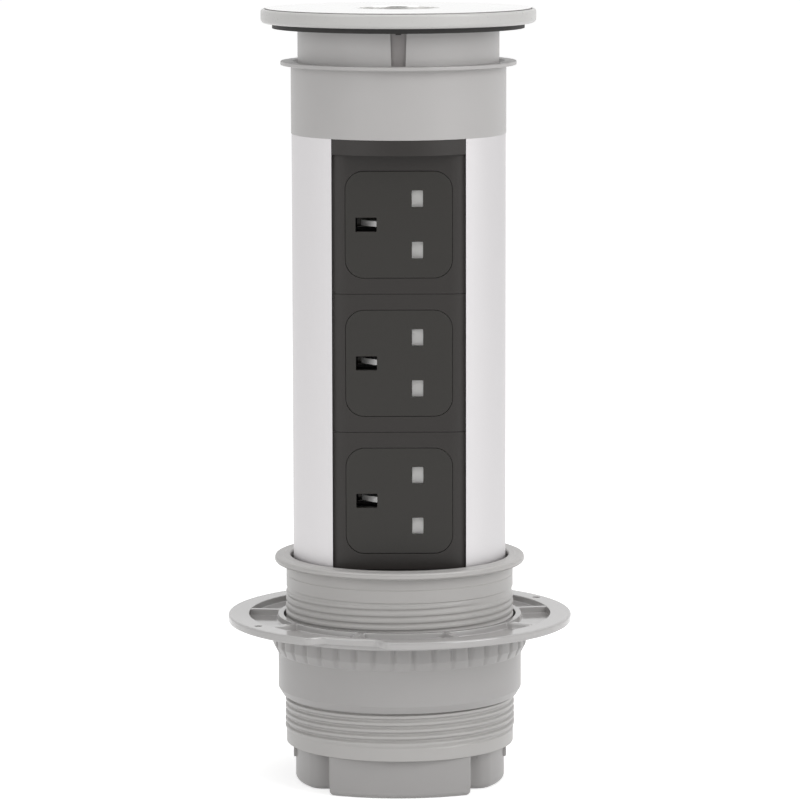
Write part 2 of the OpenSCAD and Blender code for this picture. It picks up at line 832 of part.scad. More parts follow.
module cap_body() {
    seat = cap_top - cap_plate_t;
    color("silver") difference() {
        rotate_extrude() polygon(concat(
            [[well_r, cap_z]],
            arc([cap_r - cap_low_round, cap_z + cap_low_round], cap_low_round, -90, 0),
            arc([cap_r - cap_top_round, cap_top - 0.4 - cap_top_round], cap_top_round, 0, 90),
            [[cap_plate_r + 0.3, cap_top - 0.4], [cap_plate_r + 0.3, seat], [well_r, seat]]));
        for (a = [45 : 90 : 315]) rotate([0, 0, a])
            translate([handle_screw_circle_r, 0, cap_z - over])
                cylinder(r = screw_r + seat_gap, h = 3.6 + over);
    }
}

module cap_plate() {
    z = cap_top - cap_plate_t;
    color("white") rotate_extrude() polygon([
        [well_r, z], [cap_plate_r, z], [cap_plate_r, cap_top - 0.3],
        [cap_plate_r - 0.3, cap_top], [well_r + 0.4, cap_top], [well_r, cap_top - 0.4]]);
}

module release_button() {
    under = button_top - button_t;
    foot = web_z - 1.3;
    color("gainsboro") rotate_extrude() polygon([
        [0, foot - 2.4], [foot_r, foot - 2.4], [foot_r, foot], [stem_r, foot],
        [stem_r, under], [8, under], [8, under + 1], [14, under + 1], [14, under],
        [button_r, under], [button_r, button_top - 0.4], [button_r - 0.4, button_top],
        [0, button_top]]);
}

module button_spring() {
    color("gray") translate([0, 0, pocket_z])
        coil(button_spring_r, 0.35, button_top - button_t + 1 - pocket_z, 3, 5, 18);
}

// clamp ring and nut, under the worktop

// radius of the rim's edge at an angle from a notch's middle
function notch_share(d) =
    abs(d) <= 9.3 ? 1 : abs(d) >= 14.5 ? 0 : (1 + cos(180 * (abs(d) - 9.3) / 5.2)) / 2;

module notch_cut(angle) {
    inner = [for (d = [-14.5 : 1.45 : 14.51])
        at(clamp_r + 0.02 - notch_depth * notch_share(d), angle + d)];
    outer = [for (d = [20 : -10 : -20]) at(clamp_r + 6, angle + d)];
    polygon(concat(inner, outer));
}

module clamp_ring() {
    edge = 0.9;
    color("lightgray") {
        difference() {
            rotate_extrude() polygon(concat(
                [[clamp_bore_r, clamp_foot], [clamp_step_r - 1, clamp_foot],
                 [clamp_step_r + 0.3, clamp_z - clamp_rim_t]],
                arc([clamp_r - edge, clamp_z - clamp_rim_t + edge], edge, -90, 0, 4),
                arc([clamp_r - edge, clamp_z - edge], edge, 0, 90, 4),
                [[clamp_rim_inner_r, clamp_z], [clamp_rim_inner_r, channel_z],
                 [clamp_lip_r, channel_z], [clamp_lip_r, clamp_z - rib_drop - 0.5],
                 [clamp_lip_r - 0.5, clamp_z - rib_drop], [clamp_bore_r, clamp_z - rib_drop]]));
            for (a = notch_angles) translate([0, 0, clamp_foot - over])
                linear_extrude(clamp_z - clamp_foot + 2 * over) notch_cut(a);
            for (a = hole_angles) translate(concat(at(hole_circle_r, a), clamp_foot - over))
                cylinder(r = hole_r, h = clamp_z - clamp_foot + 2 * over);
        }
        for (k = [0 : rib_count - 1]) rotate([0, 0, rib_first_angle - 90 + k * 360 / rib_count])
            translate([clamp_lip_r - 0.5, -rib_t / 2, channel_z - 0.5])
                cube([clamp_rim_inner_r - clamp_lip_r + 1, rib_t, channel_depth - rib_drop + 0.5]);
    }
}

module lock_nut() {
    foot = clamp_foot - nut_h;
    grip_foot = clamp_foot - grip_h;
    flute_centre = grip_r - flute_depth + flute_r;
    color("darkgray") difference() {
        union() {
            // grip with its flutes, chamfered at its foot
            intersection() {
                translate([0, 0, grip_foot]) linear_extrude(grip_h) difference() {
                    circle(grip_r);
                    for (k = [0 : flute_count - 1]) rotate([0, 0, (k + 0.5) * 360 / flute_count])
                        translate([flute_centre, 0]) circle(flute_r);
                }
                rotate_extrude() polygon([
                    [0, grip_foot], [hub_r, grip_foot], [grip_r, grip_foot + grip_slope],
                    [grip_r + over, clamp_foot], [0, clamp_foot]]);
            }
            rotate_extrude() polygon([
                [0, foot], [hub_r - hub_chamfer_w, foot], [hub_r, foot + hub_chamfer_h],
                [hub_r, clamp_foot - 1], [0, clamp_foot - 1]]);
        }
        translate([0, 0, foot - over]) cylinder(r = nut_bore_r, h = nut_h + 2 * over);
    }
}

sleeve();
wiper_ring();
guide_ring();
column_extrusion();
collar();
neck_guide();
top_spacer();
bottom_spacer();
base();
base_screws();
collar_screws();
cable_gland();
terminal_block();
earth_busbar();
live_busbar();
neutral_busbar();
catch_post();
handle_spring();
module_frame(0);  // module_frame_1
module_frame(1);  // module_frame_2
module_frame(2);  // module_frame_3
socket_plate(0);  // socket_plate_1
socket_plate(1);  // socket_plate_2
socket_plate(2);  // socket_plate_3
module_back(0);  // module_back_1
module_back(1);  // module_back_2
module_back(2);  // module_back_3
earth_contact(0);  // earth_contact_1
earth_contact(1);  // earth_contact_2
earth_contact(2);  // earth_contact_3
line_contact(0, 1);  // live_contact_1
line_contact(1, 1);  // live_contact_2
line_contact(2, 1);  // live_contact_3
line_contact(0, -1);  // neutral_contact_1
line_contact(1, -1);  // neutral_contact_2
line_contact(2, -1);  // neutral_contact_3
shutter(0);  // shutter_1
shutter(1);  // shutter_2
shutter(2);  // shutter_3
shutter_spring(0);  // shutter_spring_1
shutter_spring(1);  // shutter_spring_2
shutter_spring(2);  // shutter_spring_3
cap_body();
cap_plate();
cap_seal();
neck();
catch_clip();
handle_screws();
release_button();
button_spring();
clamp_ring();
lock_nut();
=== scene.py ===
"""Pop up desk socket: the finished surfaces of every piece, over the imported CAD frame.

Lengths are written in millimetres and turned to metres where a mesh is made. The
worktop's surface is z = 0, +Z is up and the sockets face -Y.
"""

import bmesh
import bpy
import numpy as np
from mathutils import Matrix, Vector


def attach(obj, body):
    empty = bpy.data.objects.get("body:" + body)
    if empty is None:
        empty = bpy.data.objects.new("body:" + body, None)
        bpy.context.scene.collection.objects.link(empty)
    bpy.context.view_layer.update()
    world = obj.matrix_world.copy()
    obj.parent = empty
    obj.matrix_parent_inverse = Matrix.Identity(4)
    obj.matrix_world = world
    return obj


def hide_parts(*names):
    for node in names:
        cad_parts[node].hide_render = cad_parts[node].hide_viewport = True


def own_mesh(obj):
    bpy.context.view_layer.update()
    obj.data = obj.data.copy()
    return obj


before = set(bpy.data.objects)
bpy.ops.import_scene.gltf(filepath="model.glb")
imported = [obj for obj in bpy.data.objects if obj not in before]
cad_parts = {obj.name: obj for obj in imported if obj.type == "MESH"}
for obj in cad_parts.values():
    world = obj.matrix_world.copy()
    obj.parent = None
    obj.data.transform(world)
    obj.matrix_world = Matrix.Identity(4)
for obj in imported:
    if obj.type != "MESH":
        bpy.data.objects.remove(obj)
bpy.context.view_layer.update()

# Sleeve
# The sleeve hangs by its rim in a round cut-out of the worktop. It is moulded in light
# grey ABS, with a smooth stretch under the rim and an outside thread of 3 mm pitch that
# runs out above the band at its foot.

GREY_ABS = "B3B1AF"
THREAD_PITCH = 3.0
THREAD_ROOT = 49.55
CREST_TOP, CREST_FOOT = 50.1, 50.75   # the mould's draft makes the lower turns wider
THREAD_TOP, THREAD_FOOT = -10.9, -74.4
THREAD_START = -0.1   # where the thread begins, in radians right of the front
BAND_R = 50.2         # the plain band under the thread
RIDGE_HALF, RIDGE_FLANK = 0.37, 0.18    # half of a ridge at its root, in pitches
TOP_RUN_OUT, FOOT_RUN_OUT = 0.11, 0.2   # in turns, 40 and 72 degrees


def linear(code, alpha=1.0):
    """Colour of an sRGB hex code as Blender's linear values, by the sRGB curve."""
    c = np.array([int(code[i:i + 2], 16) for i in (0, 2, 4)]) / 255
    c = np.where(c <= 0.04045, c / 12.92, ((c + 0.055) / 1.055) ** 2.4)
    return (*c, alpha)


def shade(code, share):
    """The same colour, lighter or darker by a share of its linear values."""
    return (*(min(1.0, c * share) for c in linear(code)[:3]), 1.0)


def new_material(name):
    """An empty node material: itself, its tree and its shader node."""
    made = bpy.data.materials.new(name)
    made.use_nodes = True
    tree = made.node_tree
    return made, tree, tree.nodes["Principled BSDF"]


def add_node(tree, kind, settings=None, links=None):
    """Add a node: settings are properties or socket values, links feed its sockets."""
    n = tree.nodes.new("ShaderNode" + kind)
    for key, value in (settings or {}).items():
        if isinstance(key, int) or key in n.inputs:
            n.inputs[key].default_value = value
        else:
            setattr(n, key, value)
    for key, source in (links or {}).items():
        tree.links.new(source, n.inputs[key])
    return n


def moulded(name, colour, roughness=0.38, grain_mm=0.45, relief=0.004, mottle=0.03,
            specular=0.5, swing=0.035):
    """Moulded plastic: a spark-eroded grain as bump, a faint flow mottle in the colour,
    and roughness that varies a little with the same grain."""
    made, tree, shader = new_material(name)
    place = add_node(tree, "TexCoord").outputs["Object"]
    grain = add_node(tree, "TexNoise", {"Scale": 500 / grain_mm, "Detail": 3.0,
                                        "Roughness": 0.6}, {"Vector": place})
    flow = add_node(tree, "TexNoise", {"Scale": 28.0, "Detail": 2.0}, {"Vector": place})
    tone = add_node(tree, "Mix", {"data_type": "RGBA", 6: shade(colour, 1 - mottle),
                                  7: shade(colour, 1 + mottle)}, {0: flow.outputs["Fac"]})
    tree.links.new(tone.outputs[2], shader.inputs["Base Color"])
    rough = add_node(tree, "MapRange", {"From Min": 0.3, "From Max": 0.7,
                                        "To Min": roughness - swing,
                                        "To Max": roughness + swing},
                     {"Value": grain.outputs["Fac"]})
    tree.links.new(rough.outputs[0], shader.inputs["Roughness"])
    bump = add_node(tree, "Bump", {"Strength": 0.4, "Distance": relief / 1000},
                    {"Height": grain.outputs["Fac"]})
    tree.links.new(bump.outputs[0], shader.inputs["Normal"])
    shader.inputs["IOR"].default_value = 1.53
    shader.inputs["Specular IOR Level"].default_value = specular
    return made


def rounded(corners, n=5):
    """A closed outline whose corners (x, y, radius) are arcs tangent to both sides.
    The arc starts radius / tan(half the corner's angle) before the corner, and its
    centre lies radius / sin(half the angle) in along the bisector."""
    c = np.asarray(corners, float)
    p, r = c[:, :2], c[:, 2]
    a = np.roll(p, 1, 0) - p
    b = np.roll(p, -1, 0) - p
    a /= np.linalg.norm(a, axis=1)[:, None]
    b /= np.linalg.norm(b, axis=1)[:, None]
    half = np.arccos(np.clip((a * b).sum(1), -1, 1)) / 2
    inward = a + b
    inward /= np.maximum(np.linalg.norm(inward, axis=1), 1e-9)[:, None]
    centre = p + inward * (r / np.sin(half))[:, None]
    first = p + a * (r / np.tan(half))[:, None] - centre
    last = p + b * (r / np.tan(half))[:, None] - centre
    start = np.arctan2(first[:, 1], first[:, 0])
    sweep = np.arctan2(last[:, 1], last[:, 0]) - start
    sweep = (sweep + np.pi) % (2 * np.pi) - np.pi
    angle = start[:, None] + sweep[:, None] * np.linspace(0, 1, n)
    arc = np.stack([np.cos(angle), np.sin(angle)], -1) * r[:, None, None]
    return (centre[:, None] + arc).reshape(-1, 2)


def as_piece(name, points, faces, body=None):
    """Points in mm and faces as a closed, smooth mesh that rides on the body: doubles are
    merged and the faces turned outwards."""
    mesh = bpy.data.meshes.new(name)
    mesh.from_pydata((np.asarray(points, float) / 1000).tolist(), [], faces)
    bm = bmesh.new()
    bm.from_mesh(mesh)
    bmesh.ops.remove_doubles(bm, verts=bm.verts, dist=2e-6)
    bmesh.ops.recalc_face_normals(bm, faces=bm.faces)
    bm.to_mesh(mesh)
    bm.free()
    mesh.polygons.foreach_set("use_smooth", np.ones(len(mesh.polygons), bool))
    made = bpy.data.objects.new(name, mesh)
    bpy.context.scene.collection.objects.link(made)
    if body:
        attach(made, body)
    return made


def grid_faces(rows, cols, loop_rows=True, loop_cols=True):
    """Four-sided faces between the rows and columns of a grid of points."""
    index = np.arange(rows * cols).reshape(rows, cols)
    if loop_rows:
        index = np.vstack([index, index[:1]])
    if loop_cols:
        index = np.hstack([index, index[:, :1]])
    return np.stack([index[:-1, :-1], index[1:, :-1], index[1:, 1:], index[:-1, 1:]],
                    -1).reshape(-1, 4).tolist()


def round_grid(radius, height, angle):
    """Points of a grid given by radius, height and angle about the axis:
    x = r cos a, y = r sin a, z = height."""
    r, z, a = np.broadcast_arrays(radius, height, angle)
    return np.stack([r * np.cos(a), r * np.sin(a), z], -1).reshape(-1, 3)


def turned(name, profile, body=None, cols=192, centre=(0, 0)):
    """A closed profile of (radius, height) turned about an upright axis at the centre."""
    r, z = np.asarray(profile, float).T[..., None]
    points = round_grid(r, z, np.arange(cols) * 2 * np.pi / cols)
    return as_piece(name, points + (*centre, 0), grid_faces(len(r), cols), body)


def finish(piece, node, material):
    """The piece takes the CAD node's place and wears the material in a named slot; its
    normals follow its larger faces, so that small rounds leave the flats flat."""
    piece.modifiers.new("even normals", "WEIGHTED_NORMAL").keep_sharp = True
    piece.data.materials.append(material)
    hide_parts(node)


def ease(x):
    """A smooth step from 0 to 1."""
    x = np.clip(x, 0, 1)
    return x * x * (3 - 2 * x)


def along_thread(z, angle):
    """Where a point lies on the right-hand thread: its distance from the middle of the
    nearest turn, in pitches, and the number of turns from the thread's lower start."""
    low = (z - THREAD_FOOT) / THREAD_PITCH - 0.5
    share = ((angle + np.pi / 2 - THREAD_START) % (2 * np.pi)) / (2 * np.pi)
    along = share + np.round(low - share)
    return low - along, along


bore = [(48.5, 3.2, 0.3), (48.0, 2.6, 0.3), (48.0, -3.5, 0.1), (47.3, -3.5, 0.1),
        (47.3, -58.8, 0.05), (48.3, -58.8, 0.05), (48.3, -70.8, 0.05), (47.3, -70.8, 0.05),
        (47.3, -80.45, 0.2), (BAND_R, -80.45, 0.3), (BAND_R, -75.7, 0.05)]
smooth_stretch = [(THREAD_ROOT, -11.1, 0.1), (50.0, -10.9, 0.1), (50.0, -5.55, 0.05),
                  (49.85, -5.45, 0.05), (49.85, -5.3, 0.05), (50.0, -5.2, 0.05),
                  (50.0, -0.3, 0.1), (50.3, 0.0, 0.1), (54.4, 0.0, 0.35),
                  (55.0, 0.7, 0.5), (55.0, 1.75, 0.05), (54.85, 1.85, 0.05),
                  (54.85, 1.95, 0.05), (54.98, 2.05, 0.05), (54.7, 2.75, 0.5),
                  (53.6, 3.05, 0.6), (51.2, 3.05, 0.3), (50.8, 3.2, 0.2)]
closed = rounded(bore + smooth_stretch)
top_count = 5 * len(bore)
thread_rows = np.linspace(THREAD_FOOT - 1.2, THREAD_TOP - 0.2, 252)[1:-1]
profile_r = np.concatenate([closed[:top_count, 0], np.full(len(thread_rows), THREAD_ROOT),
                            closed[top_count:, 0]])[:, None]
profile_z = np.concatenate([closed[:top_count, 1], thread_rows,
                            closed[top_count:, 1]])[:, None]
angle = np.arange(240) * 2 * np.pi / 240
radius = np.repeat(profile_r, len(angle), 1)
threaded = slice(top_count, top_count + len(thread_rows))
offset, along = along_thread(profile_z[threaded], angle)
_, groove_along = along_thread(profile_z[threaded] + THREAD_PITCH / 2, angle)
turns = (THREAD_TOP - THREAD_FOOT) / THREAD_PITCH - 1
# the ridge runs out at the top, and at the foot the groove runs out into the plain band
ridge = ease((RIDGE_HALF - np.abs(offset)) / RIDGE_FLANK)
ridge = ridge * ease((turns - along) / TOP_RUN_OUT)
ridge = np.maximum(ridge, 1 - ease(groove_along / FOOT_RUN_OUT))
draft = (profile_z[threaded] - THREAD_TOP) / (THREAD_FOOT - THREAD_TOP)
crest = CREST_TOP + (CREST_FOOT - CREST_TOP) * draft
crest -= (crest - BAND_R) * ease((-73.4 - profile_z[threaded]) / 1.4)
radius[threaded] += (crest - THREAD_ROOT) * ridge
sleeve = as_piece("worktop_sleeve", round_grid(radius, profile_z, angle),
                  grid_faces(*radius.shape), "sleeve")
# light grey ABS off a fine spark-eroded mould: satin, with soft broad highlights
grey_abs = moulded("grey_abs_satin", GREY_ABS)
finish(sleeve, "sleeve", grey_abs)


def dress(node, material):
    """Give a CAD node's own mesh a finish."""
    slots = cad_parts[node].data.materials
    slots.clear()
    slots.append(material)


# Sleeve rings
# A rubber wiper in the rim keeps crumbs out and a white acetal ring guides the foot
# of the column; both sit in grooves of the sleeve's bore.

black_rubber = moulded("black_rubber_matt", "2A2928", 0.62, 0.5, 0.006, 0.05, 0.35)
white_acetal = moulded("white_acetal", "E4E2DC", 0.34, 0.8, 0.002, 0.01)
wiper = turned("rim_wiper", rounded([(47.15, -3.5, 0.1), (47.95, -3.5, 0.1),
                                     (47.95, 1.0, 0.15), (47.55, 1.0, 0.15),
                                     (47.15, 0.3, 0.2)]), "sleeve")
finish(wiper, "wiper_ring", black_rubber)
dress("guide_ring", white_acetal)

# Column extrusion
# The column is an aluminium extrusion with an open front, cut to length, then etched
# and clear anodised: pale, satin, with faint upright die lines along its length.


def anodised(name, colour, roughness):
    """Anodised extrusion: die lines 0.5 mm apart that run along Z, drawn as noise that
    is stretched 60 times in height, in roughness, bump and a trace of the colour."""
    made, tree, shader = new_material(name)
    place = add_node(tree, "TexCoord").outputs["Object"]
    drawn = add_node(tree, "Mapping", {"Scale": (1.0, 1.0, 1 / 60)}, {"Vector": place})
    lines = add_node(tree, "TexNoise", {"Scale": 1100.0, "Detail": 2.0},
                     {"Vector": drawn.outputs[0]})
    etch = add_node(tree, "TexNoise", {"Scale": 3500.0, "Detail": 2.0}, {"Vector": place})
    tone = add_node(tree, "Mix", {"data_type": "RGBA", 6: shade(colour, 0.97),
                                  7: shade(colour, 1.02)}, {0: lines.outputs["Fac"]})
    tree.links.new(tone.outputs[2], shader.inputs["Base Color"])
    both = add_node(tree, "Math", {"operation": "ADD"},
                    {0: lines.outputs["Fac"], 1: etch.outputs["Fac"]})
    rough = add_node(tree, "MapRange", {"From Min": 0.7, "From Max": 1.3,
                                        "To Min": roughness - 0.04,
                                        "To Max": roughness + 0.05},
                     {"Value": both.outputs[0]})
    tree.links.new(rough.outputs[0], shader.inputs["Roughness"])
    bump = add_node(tree, "Bump", {"Strength": 0.4, "Distance": 0.003 / 1000},
                    {"Height": both.outputs[0]})
    tree.links.new(bump.outputs[0], shader.inputs["Normal"])
    shader.inputs["Metallic"].default_value = 1.0
    return made


satin_aluminium = anodised("anodised_aluminium_satin", "CECCCD", 0.5)
dress("column_extrusion", satin_aluminium)

# Spacers
# Dark moulded strips close the column's opening above and below the sockets; the
# lower one only shows when the column is taken out of its sleeve.

dark_abs = moulded("dark_abs_module", "2B2826", 0.42, 0.5, 0.005, 0.04, 0.35)
dress("top_spacer", dark_abs)
dress("bottom_spacer", dark_abs)

# Socket modules
# Each module is a dark frame with a square cover plate let into it, a black back with
# plated contacts, and a pale sliding shutter behind the pin openings.

plate_abs = moulded("dark_abs_plate", "2B2926", 0.40, 0.5, 0.005, 0.04, 0.35)
black_back = moulded("black_polyamide_back", "191817", 0.5, 0.6, 0.004, 0.04)
shutter_acetal = moulded("pale_acetal_shutter", "F4F3F1", 0.36, 0.8, 0.002, 0.02)
FACE_Y = -36.967
MODULE_Z = (32.0, 92.0, 152.0)


def plate(name, loops, front, back, edge, body):
    """Outlines in X and Z filled between two depths, every edge rounded by edge mm.
    The first loop is the outside and the others are openings."""
    curve = bpy.data.curves.new(name, "CURVE")
    curve.dimensions = "2D"
    curve.fill_mode = "BOTH"
    curve.extrude = ((back - front) / 2 - edge) / 1000
    curve.bevel_depth = edge / 1000
    curve.bevel_resolution = 3
    curve.offset = -edge / 1000
    for loop in loops:
        line = curve.splines.new("POLY")
        line.points.add(len(loop) - 1)
        flat = np.zeros((len(loop), 4))
        flat[:, :2] = np.asarray(loop) / 1000
        line.points.foreach_set("co", flat.ravel())
        line.use_cyclic_u = True
    holder = bpy.data.objects.new(name + "_outline", curve)
    bpy.context.scene.collection.objects.link(holder)
    bpy.context.view_layer.update()
    flat = bpy.data.meshes.new_from_object(holder.evaluated_get(
        bpy.context.evaluated_depsgraph_get()))
    co = np.empty(len(flat.vertices) * 3)
    flat.vertices.foreach_get("co", co)
    co = co.reshape(-1, 3) * 1000
    faces = [tuple(f.vertices) for f in flat.polygons]
    bpy.data.objects.remove(holder)
    bpy.data.curves.remove(curve)
    bpy.data.meshes.remove(flat)
    upright = np.stack([co[:, 0], FACE_Y + (front + back) / 2 + co[:, 2], co[:, 1]], -1)
    return as_piece(name, upright, faces, body)


def box_outline(x, z, w, h, r, n=10):
    """A rectangle about (x, z) with rounded corners."""
    return rounded([(x - w / 2, z - h / 2, r), (x + w / 2, z - h / 2, r),
                    (x + w / 2, z + h / 2, r), (x - w / 2, z + h / 2, r)], n)


for number, z in enumerate(MODULE_Z, 1):
    cover = plate(f"cover_plate_{number}",
                  [box_outline(0, z, 46, 46, 8, 14),
                   box_outline(8, z + 11.1, 4.8, 7.3, 0.3, 4),
                   box_outline(8, z - 11.1, 4.8, 7.3, 0.3, 4),
                   box_outline(-14.1, z, 9.1, 6.1, 0.3, 4)], 0, 3.0, 0.18, "column")
    finish(cover, f"socket_plate_{number}", plate_abs)
    dress(f"module_frame_{number}", dark_abs)
    dress(f"module_back_{number}", black_back)
    dress(f"shutter_{number}", shutter_acetal)

# Contacts and springs
# Tin plated contacts, brass current rails, an ivory terminal block, zinc plated screws and
# round wire springs; they show only through the openings or with the parts apart. The
# contacts are darker than tin plating, as painted shade inside the openings.


def metal(name, colour, roughness, grain_mm=0.6):
    """Rolled or plated metal: grain in the roughness and a slight cloud in the colour."""
    made, tree, shader = new_material(name)
    place = add_node(tree, "TexCoord").outputs["Object"]
    grain = add_node(tree, "TexNoise", {"Scale": 500 / grain_mm, "Detail": 3.0},
                     {"Vector": place})
    tone = add_node(tree, "Mix", {"data_type": "RGBA", 6: shade(colour, 0.94),
                                  7: shade(colour, 1.04)}, {0: grain.outputs["Fac"]})
    tree.links.new(tone.outputs[2], shader.inputs["Base Color"])
    rough = add_node(tree, "MapRange", {"To Min": roughness - 0.06,
                                        "To Max": roughness + 0.08},
                     {"Value": grain.outputs["Fac"]})
    tree.links.new(rough.outputs[0], shader.inputs["Roughness"])
    shader.inputs["Metallic"].default_value = 1.0
    return made


brass = metal("rolled_brass", "C9A55C", 0.34)
# the contacts' grey is their tin plating; their darker tone is painted shade
tinned_shaded_metal = metal("tin_plated_brass_painted_shade", "8E8C88", 0.45)
zinc = metal("zinc_plated_steel", "C9CCCE", 0.32)
spring_wire = metal("spring_steel_wire", "A9ABAD", 0.26)
polyamide = moulded("ivory_polyamide_block", "E6E2D3", 0.4, 0.7, 0.003, 0.02)
for number in (1, 2, 3):
    for kind in ("earth", "live", "neutral"):
        dress(f"{kind}_contact_{number}", tinned_shaded_metal)
for node in ("earth_busbar", "live_busbar", "neutral_busbar"):
    dress(node, brass)
for node in ("base_screws", "collar_screws", "handle_screws"):
    dress(node, zinc)
dress("terminal_block", polyamide)


def coil(name, centre, way, mean_r, wire_r, length, turns, body, sides=10, steps=28):
    """Round wire carried along a helix: the wire's circle turns about the point
    (R cos a, R sin a, rise * a) and its two ends are closed flat."""
    rings = int(turns * steps)
    a = np.linspace(0, 2 * np.pi * turns, rings + 1)[:, None]
    b = np.arange(sides)[None] * 2 * np.pi / sides
    r = mean_r + wire_r * np.cos(b)
    rise = wire_r + (length - 2 * wire_r) * a / (2 * np.pi * turns)
    local = np.stack([r * np.cos(a), -r * np.sin(a), rise + wire_r * np.sin(b)], -1)
    if way == "x":
        local = local[..., [2, 1, 0]]
    faces = grid_faces(rings + 1, sides, loop_rows=False)
    faces += [tuple(range(sides)), tuple(range(rings * sides, (rings + 1) * sides))]
    return as_piece(name, (local + np.asarray(centre)).reshape(-1, 3), faces, body)


for number, z in enumerate(MODULE_Z, 1):
    spring = coil(f"shutter_return_spring_{number}", (5.0, FACE_Y + 4.45, z), "x",
                  0.9, 0.25, 16.0, 10, "column", 8, 20)
    finish(spring, f"shutter_spring_{number}", spring_wire)
    # the shutter's 6 mm of travel presses the spring's 16 mm to 10 against its far end
    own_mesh(spring)

# Collar
# The collar caps the column and guides the neck. It is moulded in the same grey ABS,
# with a thin flange that lies on the sleeve's rim when the column is down; four screws
# through its floor hold it.

PORT_CIRCLE_R = 41.6
PORT_ANGLES = np.radians([-20, 60, 120, 200])
COLLAR_FOOT, FLOOR_TOP = 188.8, 192.0


def rod(low, high, radius, centre, step=None):
    """A tool for a hole: a round bar, with a wider step (radius, height) at its foot."""
    profile = [(0, low), (radius, low), (radius, high), (0, high)]
    if step:
        profile[1:2] = [(step[0], low), (step[0], step[1]), (radius, step[1])]
    return turned("tool", profile, cols=48, centre=centre)


def join(piece, tools, operation="DIFFERENCE"):
    """Cut a piece by closed tools, or melt them into it, by exact booleans; edges that
    turn by more than 35 degrees stay creased."""
    for tool in tools:
        step = piece.modifiers.new("tool", "BOOLEAN")
        step.operation, step.solver, step.object = operation, "EXACT", tool
        bpy.context.view_layer.update()
        result = bpy.data.meshes.new_from_object(piece.evaluated_get(
            bpy.context.evaluated_depsgraph_get()))
        piece.modifiers.remove(step)
        piece.data = result
        bpy.data.objects.remove(tool)
    piece.data.polygons.foreach_set("use_smooth", np.ones(len(piece.data.polygons), bool))
    piece.data.set_sharp_from_angle(angle=np.radians(35))


collar = turned("column_collar", rounded([
    (0, COLLAR_FOOT, 0), (47.0, COLLAR_FOOT, 0.25), (47.0, 218.7, 0.35),
    (51.5, 218.7, 0.35), (51.5, 220.4, 0.4), (46.5, 220.4, 0.3), (45.0, 219.1, 0.4),
    (45.0, 217.0, 0.05), (45.6, 217.0, 0.05), (45.6, 213.5, 0.05), (45.0, 213.5, 0.05),
    (45.0, FLOOR_TOP, 0.8), (0, FLOOR_TOP, 0)]), "column")
ports = np.stack([PORT_CIRCLE_R * np.cos(PORT_ANGLES), PORT_CIRCLE_R * np.sin(PORT_ANGLES)], -1)
join(collar, [turned("tool", [(0, COLLAR_FOOT - 1), (2.1, COLLAR_FOOT - 1), (2.1, 189.9),
                              (3.2, 189.9), (3.2, FLOOR_TOP + 1), (0, FLOOR_TOP + 1)],
                     cols=48, centre=port) for port in ports])
collar_abs = moulded("grey_abs_collar", "B3B1B0")
finish(collar, "collar", collar_abs)
dress("neck_guide", black_rubber)
dress("catch_post", black_back)

# Neck
# The neck slides in the collar and carries the cap on four screws; a steel spring lifts
# it. Grey ABS like the collar, with one upright groove at its front that keeps it from
# turning; the groove's walls and floor carry painted shade.


def groove_shaded_neck(name, colour, groove_shade):
    """The neck's plastic with painted shade on the groove's walls and floor: there a point
    lies nearer to the axis than 43.9 mm, further forward than 40 mm and within 4.5 mm of
    the middle."""
    made = moulded(name, colour)
    tree = made.node_tree
    shader = tree.nodes["Principled BSDF"]
    plain = shader.inputs["Base Color"].links[0].from_socket
    place = add_node(tree, "TexCoord").outputs["Object"]
    part = add_node(tree, "SeparateXYZ", links={0: place})
    flat = add_node(tree, "CombineXYZ", links={0: part.outputs[0], 1: part.outputs[1]})
    out = add_node(tree, "VectorMath", {"operation": "LENGTH"}, {0: flat.outputs[0]})
    inside = add_node(tree, "Math", {"operation": "LESS_THAN", 1: 0.0439},
                      {0: out.outputs["Value"]})
    front = add_node(tree, "Math", {"operation": "LESS_THAN", 1: -0.040},
                     {0: part.outputs[1]})
    aside = add_node(tree, "Math", {"operation": "ABSOLUTE"}, {0: part.outputs[0]})
    middle = add_node(tree, "Math", {"operation": "LESS_THAN", 1: 0.0045},
                      {0: aside.outputs[0]})
    both = add_node(tree, "Math", {"operation": "MULTIPLY"},
                    {0: inside.outputs[0], 1: front.outputs[0]})
    share = add_node(tree, "Math", {"operation": "MULTIPLY"},
                     {0: both.outputs[0], 1: middle.outputs[0]})
    mix = add_node(tree, "Mix", {"data_type": "RGBA", 7: linear(groove_shade)},
                   {0: share.outputs[0], 6: plain})
    tree.links.new(mix.outputs[2], shader.inputs["Base Color"])
    return made


# the groove's darker grey, 94908F, is painted shade
neck_abs = groove_shaded_neck("grey_abs_neck", "BEBCBB", "94908F")
dress("neck", neck_abs)
dress("catch_clip", black_back)
lift_spring = coil("cap_lift_spring", (0, 0, FLOOR_TOP), "z", 20.0, 1.0, 40.3, 6,
                   "handle", 12, 48)
finish(lift_spring, "handle_spring", spring_wire)
# the cap presses the lift spring from 40.3 to 26.3 mm, and the button the latch spring
# from 3.4 to 1.4 mm
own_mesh(lift_spring)
latch_spring = coil("button_return_spring", (0, 0, 235.05), "z", 11.0, 0.35, 3.4, 3,
                    "handle", 10, 40)
finish(latch_spring, "button_spring", spring_wire)
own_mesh(latch_spring)

# Cap
# The cap is the lid and the handle: a satin silver body with a rounded rim, a bright
# top plate let into it, a dark seal under it and the release button in its well.

